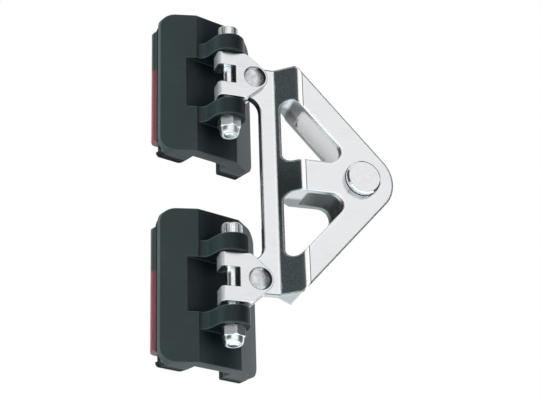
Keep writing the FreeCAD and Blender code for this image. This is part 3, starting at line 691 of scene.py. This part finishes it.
@dataclass(frozen=True)
class TurnedSteel(Finish):
    """Bright steel with the fine rings of a lathe, fluted between two heights if flutes is set."""

    centre: Vector
    axis: Axis
    tone: Colour = (0.74, 0.75, 0.77, 1.0)
    dark_tone: Colour = (0.50, 0.51, 0.54, 1.0)
    dark_span: tuple[float, float] = (0.3, 0.8)
    rough: float = 0.20
    wear: Wear = Wear(low=0.2, high=0.9, least=0.6, most=1.5)
    pitch: float = 0.32 * MM
    depth: float = 0.010 * MM
    ring_strength: float = 0.6
    edge: float = 0.2 * MM
    rim: float = 0.8 * MM
    painted_line_tone: Colour = (0.10, 0.11, 0.12, 1.0)
    flutes: int = 0
    flute_span: tuple[float, float] = (0.0, 0.0)
    flute_relief: Relief = Relief(0.04 * MM, 0.7)

    def start(self, effects: Effects, name: str) -> Surface:
        """Build the surface and keep it open for more.

        Args:
            effects: The shared effects.
            name: The material's name.

        Returns:
            The turned surface.
        """
        surface = Surface(name, {"Metallic": 1.0})
        nodes = surface.nodes
        surface.rounded_edges(self.edge)
        centre = tuple(self.centre)
        rings = surface.effect(effects.lathe, Centre=centre, Axis=self.axis.value, Pitch=self.pitch)
        turned = nodes.blend(nodes.span(rings["Mask"], *self.dark_span), self.tone, self.dark_tone)
        rims = surface.effect(effects.rims, Radius=self.rim)
        # Painted reflection: a fine dark line at each corner.
        surface.colour(nodes.blend(rims["Line"], turned, self.painted_line_tone))
        surface.worn(rings["Mask"], self.rough, self.wear)
        surface.relief(rings["Height"], Relief(self.depth, self.ring_strength))
        if self.flutes:
            foot, crown = self.flute_span
            grooves = surface.effect(
                effects.flutes, Centre=centre, Count=float(self.flutes), Foot=foot, Crown=crown
            )
            surface.relief(grooves["Height"], self.flute_relief)
        return surface


@dataclass(frozen=True)
class CastSteel(Finish):
    """The duller, slightly pitted steel of nuts and springs."""

    tone: Colour = (0.94, 0.95, 0.96, 1.0)
    dark_tone: Colour = (0.74, 0.75, 0.77, 1.0)
    rough: float = 0.30
    wear: Wear = Wear(low=0.2, high=0.8, least=0.7, most=1.4)
    edge: float = 0.3 * MM
    grain: float = 0.5 * MM
    marks: float = 3 * MM
    pits: Relief = Relief(0.03 * MM, 0.7)

    def start(self, effects: Effects, name: str) -> Surface:
        """Build the surface and keep it open for more.

        Args:
            effects: The shared effects.
            name: The material's name.

        Returns:
            The pitted surface.
        """
        surface = Surface(name, {"Metallic": 1.0})
        surface.rounded_edges(self.edge)
        grain = surface.effect(effects.grain, Size=self.grain)
        marks = surface.effect(effects.smudge, Size=self.marks)
        surface.colour(surface.nodes.blend(marks["Mask"], self.tone, self.dark_tone))
        surface.worn(grain["Mask"], self.rough, self.wear)
        surface.relief(grain["Height"], self.pits)
        return surface


@dataclass(frozen=True)
class SatinAnodised(Finish):
    """Charcoal hard anodised aluminium: satin, finely blasted, with painted shade about the ears and in its
    recesses and a painted highlight at its rims.
    """

    axis: Vector
    tone: Colour = (0.030, 0.038, 0.040, 1.0)
    light_tone: Colour = (0.040, 0.048, 0.052, 1.0)
    recess_shade_tone: Colour = (0.004, 0.008, 0.010, 1.0)
    rim_highlight_tone: Colour = (0.110, 0.125, 0.130, 1.0)
    ear_shade_tone: Colour = (0.013, 0.018, 0.020, 1.0)
    ear_reach: float = 17 * MM
    ear_radius: float = 11 * MM
    recess: float = 20 * MM
    recess_span: tuple[float, float] = (0.40, 1.0)
    sheen: float = 0.17
    rough: float = 0.42
    wear: Wear = Wear(low=0.25, high=0.75, least=0.85, most=1.15)
    edge: float = 0.7 * MM
    rim: float = 0.8 * MM
    rim_share: float = 0.35
    grain: float = 0.35 * MM
    stretch: tuple[float, float, float] = (1.0, 1.0, 0.35)
    marks: float = 22 * MM
    blasting: Relief = Relief(0.012 * MM, 0.6)

    def start(self, effects: Effects, name: str) -> Surface:
        """Build the surface and keep it open for more.

        Args:
            effects: The shared effects.
            name: The material's name.

        Returns:
            The anodised surface.
        """
        surface = Surface(name, {"Specular IOR Level": self.sheen})
        nodes = surface.nodes
        surface.rounded_edges(self.edge)
        grain = surface.effect(effects.grain, Size=self.grain, Stretch=self.stretch)
        marks = surface.effect(effects.smudge, Size=self.marks)
        level_arm = nodes.vector("MULTIPLY", nodes.arm(tuple(self.axis)), (1.0, 1.0, 0.0)).outputs[0]
        out = nodes.vector("LENGTH", level_arm).outputs[1]
        face = nodes.blend(marks["Mask"], self.tone, self.light_tone)
        # Painted shade: the ears darker than the rest of the body.
        face = nodes.blend(nodes.span(out, self.ear_reach, self.ear_radius), face, self.ear_shade_tone)
        # Painted shade: recesses darkened by ambient occlusion.
        shelter = nodes.add("AmbientOcclusion", {"Distance": self.recess}, samples=8).outputs["AO"]
        sheltered = nodes.blend(nodes.span(shelter, *self.recess_span), self.recess_shade_tone, face)
        rims = surface.effect(effects.rims, Radius=self.rim)
        # Painted highlight: the rims lightened.
        surface.colour(nodes.blend(nodes.times(rims["Rim"], self.rim_share), sheltered, self.rim_highlight_tone))
        surface.worn(grain["Mask"], self.rough, self.wear)
        surface.relief(grain["Height"], self.blasting)
        return surface


@dataclass(frozen=True)
class MouldedPlastic(Finish):
    """Moulded plastic with a soft sheen, a fine even skin and a painted highlight that lightens its rims."""

    tone: Colour = (0.004, 0.006, 0.007, 1.0)
    light_tone: Colour = (0.009, 0.012, 0.013, 1.0)
    rough: float = 0.34
    wear: Wear = Wear(low=0.3, high=0.7, least=0.85, most=1.2)
    grain: float = 0.25 * MM
    sheen: float = 0.12
    edge: float = 0.3 * MM
    rim: float = 0.7 * MM
    rim_share: float = 0.35
    rim_gain: float = 1.25
    rim_lift: float = 0.05
    skin: Relief = Relief(0.010 * MM, 0.6)

    def start(self, effects: Effects, name: str) -> Surface:
        """Build the surface and keep it open for more.

        Args:
            effects: The shared effects.
            name: The material's name.

        Returns:
            The moulded surface.
        """
        surface = Surface(name, {"Specular IOR Level": self.sheen})
        nodes = surface.nodes
        surface.rounded_edges(self.edge)
        grain = surface.effect(effects.grain, Size=self.grain)
        patches = nodes.span(grain["Mask"], self.wear.low, self.wear.high)
        skin = nodes.blend(patches, self.tone, self.light_tone)
        rims = surface.effect(effects.rims, Radius=self.rim)
        # Painted highlight: worn holds the rims' lightened colour.
        worn = tuple(min(1.0, part * self.rim_gain + self.rim_lift) for part in self.light_tone[:3]) + (1.0,)
        surface.colour(nodes.blend(nodes.times(rims["Rim"], self.rim_share), skin, worn))
        surface.worn(grain["Mask"], self.rough, self.wear)
        surface.relief(grain["Height"], self.skin)
        return surface


@dataclass(frozen=True)
class StripSkin(Finish):
    """The side strip's skin: dark red, with a bare black zone at its upper end."""

    low: float
    high: float
    black_share: float = 0.365
    red: Colour = (0.096, 0.019, 0.025, 1.0)
    worn_red: Colour = (0.132, 0.038, 0.045, 1.0)
    worn_span: tuple[float, float] = (0.25, 0.8)
    black: Colour = (0.020, 0.022, 0.023, 1.0)
    rough: float = 0.30
    wear: Wear = Wear(low=0.2, high=0.8, least=0.8, most=1.3)
    coat: float = 0.25
    coat_rough: float = 0.15
    grain: float = 0.5 * MM
    stretch: tuple[float, float, float] = (1.0, 1.0, 0.08)
    skin: Relief = Relief(0.012 * MM, 0.5)

    def start(self, effects: Effects, name: str) -> Surface:
        """Build the surface and keep it open for more.

        Args:
            effects: The shared effects.
            name: The material's name.

        Returns:
            The strip's surface, red below and black above.
        """
        surface = Surface(name, {"Coat Weight": self.coat, "Coat Roughness": self.coat_rough})
        nodes = surface.nodes
        grain = surface.effect(effects.grain, Size=self.grain, Stretch=self.stretch)
        border = self.high - (self.high - self.low) * self.black_share
        zone = nodes.math("GREATER_THAN", nodes.parts(nodes.place())[2], border)
        red = nodes.blend(nodes.span(grain["Height"], *self.worn_span), self.red, self.worn_red)
        surface.colour(nodes.blend(zone, red, self.black))
        surface.worn(grain["Mask"], self.rough, self.wear)
        surface.relief(grain["Height"], self.skin)
        return surface


# Sub-assemblies


def dress(node: str, material: bpy.types.Material) -> None:
    """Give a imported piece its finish.

    Args:
        node: The piece's name in the frame.
        material: Its finish.
    """
    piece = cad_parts[node]
    if not piece.material_slots:
        piece.data.materials.append(material)
    for slot in piece.material_slots:
        slot.material = material
    LOG.info("dressed %s with %s", node, material.name)


def mesh_piece(
    name: str, points: list[Vector], faces: list[tuple[int, ...]], material: bpy.types.Material
) -> bpy.types.Object:
    """Make a new smooth piece in the shared frame.

    Args:
        name: The piece's name.
        points: Its corners, in metres.
        faces: The corners of each face.
        material: Its finish.

    Returns:
        The new object.
    """
    mesh = bpy.data.meshes.new(name)
    mesh.from_pydata([tuple(point) for point in points], [], faces)
    mesh.update()
    for face in mesh.polygons:
        face.use_smooth = True
    mesh.materials.append(material)
    LOG.info("made %s: %d faces", name, len(faces))
    return placed(name, mesh)


def placed(name: str, data: bpy.types.ID) -> bpy.types.Object:
    """Add an object to the scene.

    Args:
        name: The object's name.
        data: The mesh, lamp or camera that it shows.

    Returns:
        The new object.
    """
    item = bpy.data.objects.new(name, data)
    bpy.context.scene.collection.objects.link(item)
    return item


@dataclass
class LinkFrame:
    """The forked link, its headboard pin and retaining ring."""

    crown_reach: float = 24.8 * MM
    edge: float = 1.6 * MM
    rim: float = 2.2 * MM
    pin_tone: Colour = (0.81, 0.81, 0.83, 1.0)
    pin_dark_tone: Colour = (0.76, 0.76, 0.78, 1.0)
    pin_rough: float = 0.12
    pin_depth: float = 0.003 * MM
    ring_tone: Colour = (0.40, 0.41, 0.42, 1.0)
    ring_dark_tone: Colour = (0.28, 0.28, 0.30, 1.0)

    def build(self, effects: Effects) -> None:
        """Dress the link and what is held to it.

        Args:
            effects: The shared effects.
        """
        crown = middle_of("upper_toggle_pin").x + self.crown_reach
        link = LinkSteel(polish=PolishedSteel(edge=self.edge, rim=self.rim), crown=crown)
        dress("link", link.make(effects, "link_polish"))
        pin = TurnedSteel(
            centre=middle_of("headboard_pin"), axis=Axis.ACROSS, tone=self.pin_tone,
            dark_tone=self.pin_dark_tone, rough=self.pin_rough, depth=self.pin_depth,
        )
        dress("headboard_pin", pin.make(effects, "headboard_pin_steel"))
        ring = CastSteel(tone=self.ring_tone, dark_tone=self.ring_dark_tone)
        dress("retaining_ring", ring.make(effects, "retaining_ring_steel"))


@dataclass
class ToggleUnit:
    """One toggle and its cross pin."""

    level: Level
    smooth: float = 0.26
    hazy: float = 0.42
    # Colour of the painted dark reflection line at the toggle's corners.
    painted_line_tone: Colour = (0.30, 0.31, 0.32, 1.0)
    pin_rough: float = 0.24
    pin_depth: float = 0.02 * MM

    def build(self, effects: Effects) -> None:
        """Dress the toggle and its pin.

        Args:
            effects: The shared effects.
        """
        word = self.level.value
        polish = PolishedSteel(smooth=self.smooth, hazy=self.hazy, painted_line_tone=self.painted_line_tone)
        toggle = ToggleSteel(polish=polish, screw=middle_of(f"{word}_pivot_screw").x)
        dress(f"{word}_toggle", toggle.make(effects, f"{word}_toggle_polish"))
        centre = middle_of(f"{word}_toggle_pin")
        pin = TurnedSteel(centre=centre, axis=Axis.ACROSS, rough=self.pin_rough, depth=self.pin_depth)
        dress(f"{word}_toggle_pin", pin.make(effects, f"{word}_toggle_pin_steel"))


@dataclass
class Car:
    """One track car: body, guides, strips, balls and its pivot screw with nut."""

    level: Level
    flutes: int = 44
    head_share: float = 0.107
    flute_foot: float = 0.6 * MM
    flute_crown: float = 0.9 * MM
    screw_tone: Colour = (0.92, 0.92, 0.93, 1.0)
    screw_dark_tone: Colour = (0.74, 0.75, 0.77, 1.0)
    screw_rough: float = 0.22
    guide_screw_rough: float = 0.25
    nylon: MouldedPlastic = MouldedPlastic(
        tone=(0.55, 0.60, 0.66, 1.0), light_tone=(0.65, 0.69, 0.74, 1.0), rough=0.45
    )
    guide: MouldedPlastic = MouldedPlastic(sheen=0.05, rim_share=0.15)
    acetal: MouldedPlastic = MouldedPlastic(
        tone=(0.72, 0.70, 0.63, 1.0), light_tone=(0.80, 0.78, 0.72, 1.0), rough=0.30, grain=0.4 * MM
    )

    def build(self, effects: Effects) -> None:
        """Dress every piece of the car.

        Args:
            effects: The shared effects.
        """
        word = self.level.value
        body = SatinAnodised(axis=middle_of(f"{word}_pivot_screw"))
        dress(f"{word}_car_body", body.make(effects, f"{word}_car_anodising"))
        self.fastenings(effects, word)
        for side in Hand:
            self.side(effects, f"{word}_{side.value}")

    def fastenings(self, effects: Effects, word: str) -> None:
        """Dress the pivot screw, its nut and the guide screws.

        Args:
            effects: The shared effects.
            word: The car's name in the frame.
        """
        low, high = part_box(f"{word}_pivot_screw")
        head = (high.z - low.z) * self.head_share
        screw = TurnedSteel(
            centre=(low + high) / 2, axis=Axis.UPRIGHT, tone=self.screw_tone, dark_tone=self.screw_dark_tone,
            rough=self.screw_rough, flutes=self.flutes,
            flute_span=(high.z - head + self.flute_foot, high.z - self.flute_crown),
        )
        dress(f"{word}_pivot_screw", screw.make(effects, f"{word}_pivot_screw_steel"))
        dress(f"{word}_lock_nut", CastSteel().make(effects, f"{word}_nut_steel"))
        dress(f"{word}_nut_insert", self.nylon.make(effects, f"{word}_nut_nylon"))
        small = CastSteel(rough=self.guide_screw_rough)
        dress(f"{word}_guide_screws", small.make(effects, f"{word}_guide_screw_steel"))

    def side(self, effects: Effects, word: str) -> None:
        """Dress the guide, strip and balls of one side.

        Args:
            effects: The shared effects.
            word: The side's name in the frame, after its car's.
        """
        dress(f"{word}_ball_guide", self.guide.make(effects, f"{word}_guide_plastic"))
        low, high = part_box(f"{word}_side_strip")
        dress(f"{word}_side_strip", StripSkin(low=low.z, high=high.z).make(effects, f"{word}_strip_skin"))
        dress(f"{word}_balls", self.acetal.make(effects, f"{word}_ball_acetal"))


# Studio


@dataclass(frozen=True)
class PhotoCamera:
    """The photograph's viewpoint, found by fitting a camera to the link's and cars' edges."""

    place: tuple[float, float, float] = (-0.26901, -0.65577, -0.32422)
    azimuth: float = -18.681
    elevation: float = -24.305
    roll: float = -1.841
    lens: float = 95.47
    nearest: float = 0.05

    def make(self) -> bpy.types.Object:
        """Add the camera and make it the scene's.

        Returns:
            The camera.
        """
        back, lean = toward(self.azimuth, self.elevation), math.radians(self.roll)
        right = (-back).cross(Vector(Axis.UPRIGHT.value)).normalized()
        up = right.cross(-back)
        across = right * math.cos(lean) + up * math.sin(lean)
        upward = up * math.cos(lean) - right * math.sin(lean)
        matrix = Matrix((across, upward, back)).transposed().to_4x4()
        matrix.translation = Vector(self.place)
        data = bpy.data.cameras.new("photo_camera")
        data.lens = self.lens
        data.clip_start = self.nearest
        camera = placed("photo_camera", data)
        camera.matrix_world = matrix
        bpy.context.scene.camera = camera
        return camera


@dataclass(frozen=True)
class Lamp:
    """A square soft lamp that looks at the object's middle."""

    name: str
    azimuth: float
    power: float
    tint: tuple[float, float, float]
    elevation: float = 20.0
    distance: float = 1.7
    size: float = 1.0

    def make(self, target: Vector) -> bpy.types.Object:
        """Add the lamp.

        Args:
            target: The point that it looks at.

        Returns:
            The lamp.
        """
        data = bpy.data.lights.new(self.name, "AREA")
        data.shape = "SQUARE"
        data.size = self.size
        data.energy = self.power
        data.color = self.tint
        lamp = placed(self.name, data)
        lamp.visible_glossy = False
        back = toward(self.azimuth, self.elevation)
        lamp.location = target + back * self.distance
        lamp.rotation_mode = "QUATERNION"
        lamp.rotation_quaternion = (-back).to_track_quat("-Z", "Y")
        return lamp


@dataclass(frozen=True)
class DarkCard:
    """A curved dark card round the object's middle, seen only in reflections, darkest at one height."""

    name: str
    azimuths: tuple[float, float]
    elevations: tuple[float, float]
    radius: float = 1.3
    tone: Colour = (0.080, 0.098, 0.103, 1.0)
    deep: float = 0.42
    level: float = 0.587
    fade: float = 0.09
    steps: int = 16

    def make(self, target: Vector) -> bpy.types.Object:
        """Bend the card from one azimuth to the other.

        Args:
            target: The point that the card stands round.

        Returns:
            The card.
        """
        points = []
        first, last = self.azimuths
        heights = [math.tan(math.radians(elevation)) * self.radius for elevation in self.elevations]
        for index in range(self.steps + 1):
            side = toward(first + (last - first) * index / self.steps, 0.0) * self.radius
            points += [target + side + Vector((0, 0, height)) for height in heights]
        faces = [(2 * index, 2 * index + 2, 2 * index + 3, 2 * index + 1) for index in range(self.steps)]
        card = mesh_piece(self.name, points, faces, self.cloth())
        card.visible_camera = False
        card.visible_diffuse = False
        card.visible_shadow = False
        card.visible_transmission = False
        return card

    def cloth(self) -> bpy.types.Material:
        """Make an even dark cloth that gives back a fixed tone.

        Returns:
            The cloth's material.
        """
        plain = {
            "Base Color": (0.0, 0.0, 0.0, 1.0), "Roughness": 1.0,
            "Specular IOR Level": 0.0, "Emission Strength": 1.0,
        }
        surface = Surface(f"{self.name}_cloth", plain)
        nodes = surface.nodes
        away = nodes.math("ABSOLUTE", nodes.math("SUBTRACT", nodes.parts(nodes.place())[2], self.level))
        cloth = nodes.blend(nodes.span(away, 0.0, self.fade), scaled(self.tone, self.deep), self.tone)
        nodes.feed(surface.shader.inputs["Emission Color"], cloth)
        return surface.material


@dataclass
class Studio:
    """Pale floor, white surroundings, soft lamps and the dark cards that polished steel reflects."""

    floor_height: float = -0.62
    floor_half: float = 1.9
    floor_tone: Colour = (0.84, 0.84, 0.84, 1.0)
    floor_lift: float = 1.02
    floor_patches: float = 3.0
    floor_span: tuple[float, float] = (0.3, 0.7)
    floor_rough: float = 0.85
    soft_light: float = 0.14
    lamps: tuple[Lamp, ...] = field(default_factory=lambda: (
        Lamp("key_lamp", azimuth=94.0, power=58.0, tint=(0.90, 0.95, 1.0)),
        Lamp("fill_lamp", azimuth=-84.0, power=66.0, tint=(0.84, 1.0, 0.97)),
    ))
    cards: tuple[DarkCard, ...] = field(default_factory=lambda: (
        DarkCard("left_card", azimuths=(-40.0, -97.0), elevations=(-8.0, 52.0)),
        DarkCard("rear_card", azimuths=(-154.0, -168.0), elevations=(6.0, 52.0)),
        DarkCard(
            "right_card", azimuths=(34.0, 105.0), elevations=(-50.0, 74.0), tone=(0.08, 0.09, 0.10, 1.0)
        ),
    ))

    def build(self) -> None:
        """Add the floor, cards, lamps, world and camera."""
        low, high = CAD_BOX
        target = (low + high) / 2
        self.floor()
        for card in self.cards:
            card.make(target)
        for lamp in self.lamps:
            lamp.make(target)
        self.world()
        PhotoCamera().make()

    def floor(self) -> None:
        """Lay a pale floor well below the hanging object."""
        half, height = self.floor_half, self.floor_height
        corners = ((-half, -half), (half, -half), (half, half), (-half, half))
        points = [Vector((x, y, height)) for x, y in corners]
        surface = Surface("floor_paint", {"Roughness": self.floor_rough})
        tone = surface.nodes.span(surface.nodes.noise(self.floor_patches, detail=2.0), *self.floor_span)
        surface.colour(surface.nodes.blend(tone, self.floor_tone, scaled(self.floor_tone, self.floor_lift)))
        mesh_piece("studio_floor", points, [(0, 1, 2, 3)], surface.material)

    def world(self) -> None:
        """White where the camera or a reflection looks, and plain soft light on everything else."""
        world = bpy.data.worlds.new("studio_world")
        bpy.context.scene.world = world
        world.use_nodes = True
        world.node_tree.nodes.clear()
        nodes = Nodes(world.node_tree)
        path = nodes.add("LightPath").outputs
        seen = nodes.math("MAXIMUM", path["Is Camera Ray"], path["Is Glossy Ray"])
        seen = nodes.math("MAXIMUM", seen, path["Is Transmission Ray"])
        strength = nodes.math("MULTIPLY_ADD", seen, 1.0 - self.soft_light, self.soft_light)
        light = nodes.add("Background", {"Color": (1.0, 1.0, 1.0, 1.0), "Strength": strength})
        nodes.add("OutputWorld", {"Surface": light.outputs[0]})


def main() -> None:
    """Build every sub-assembly in order, then the studio."""
    logging.basicConfig(level=logging.INFO, format="%(name)s: %(message)s")
    effects = Effects()
    LinkFrame().build(effects)
    for level in Level:
        ToggleUnit(level).build(effects)
        Car(level).build(effects)
    Studio().build()
    bpy.context.scene.view_settings.view_transform = "Standard"


if __name__ == "__main__":
    main()
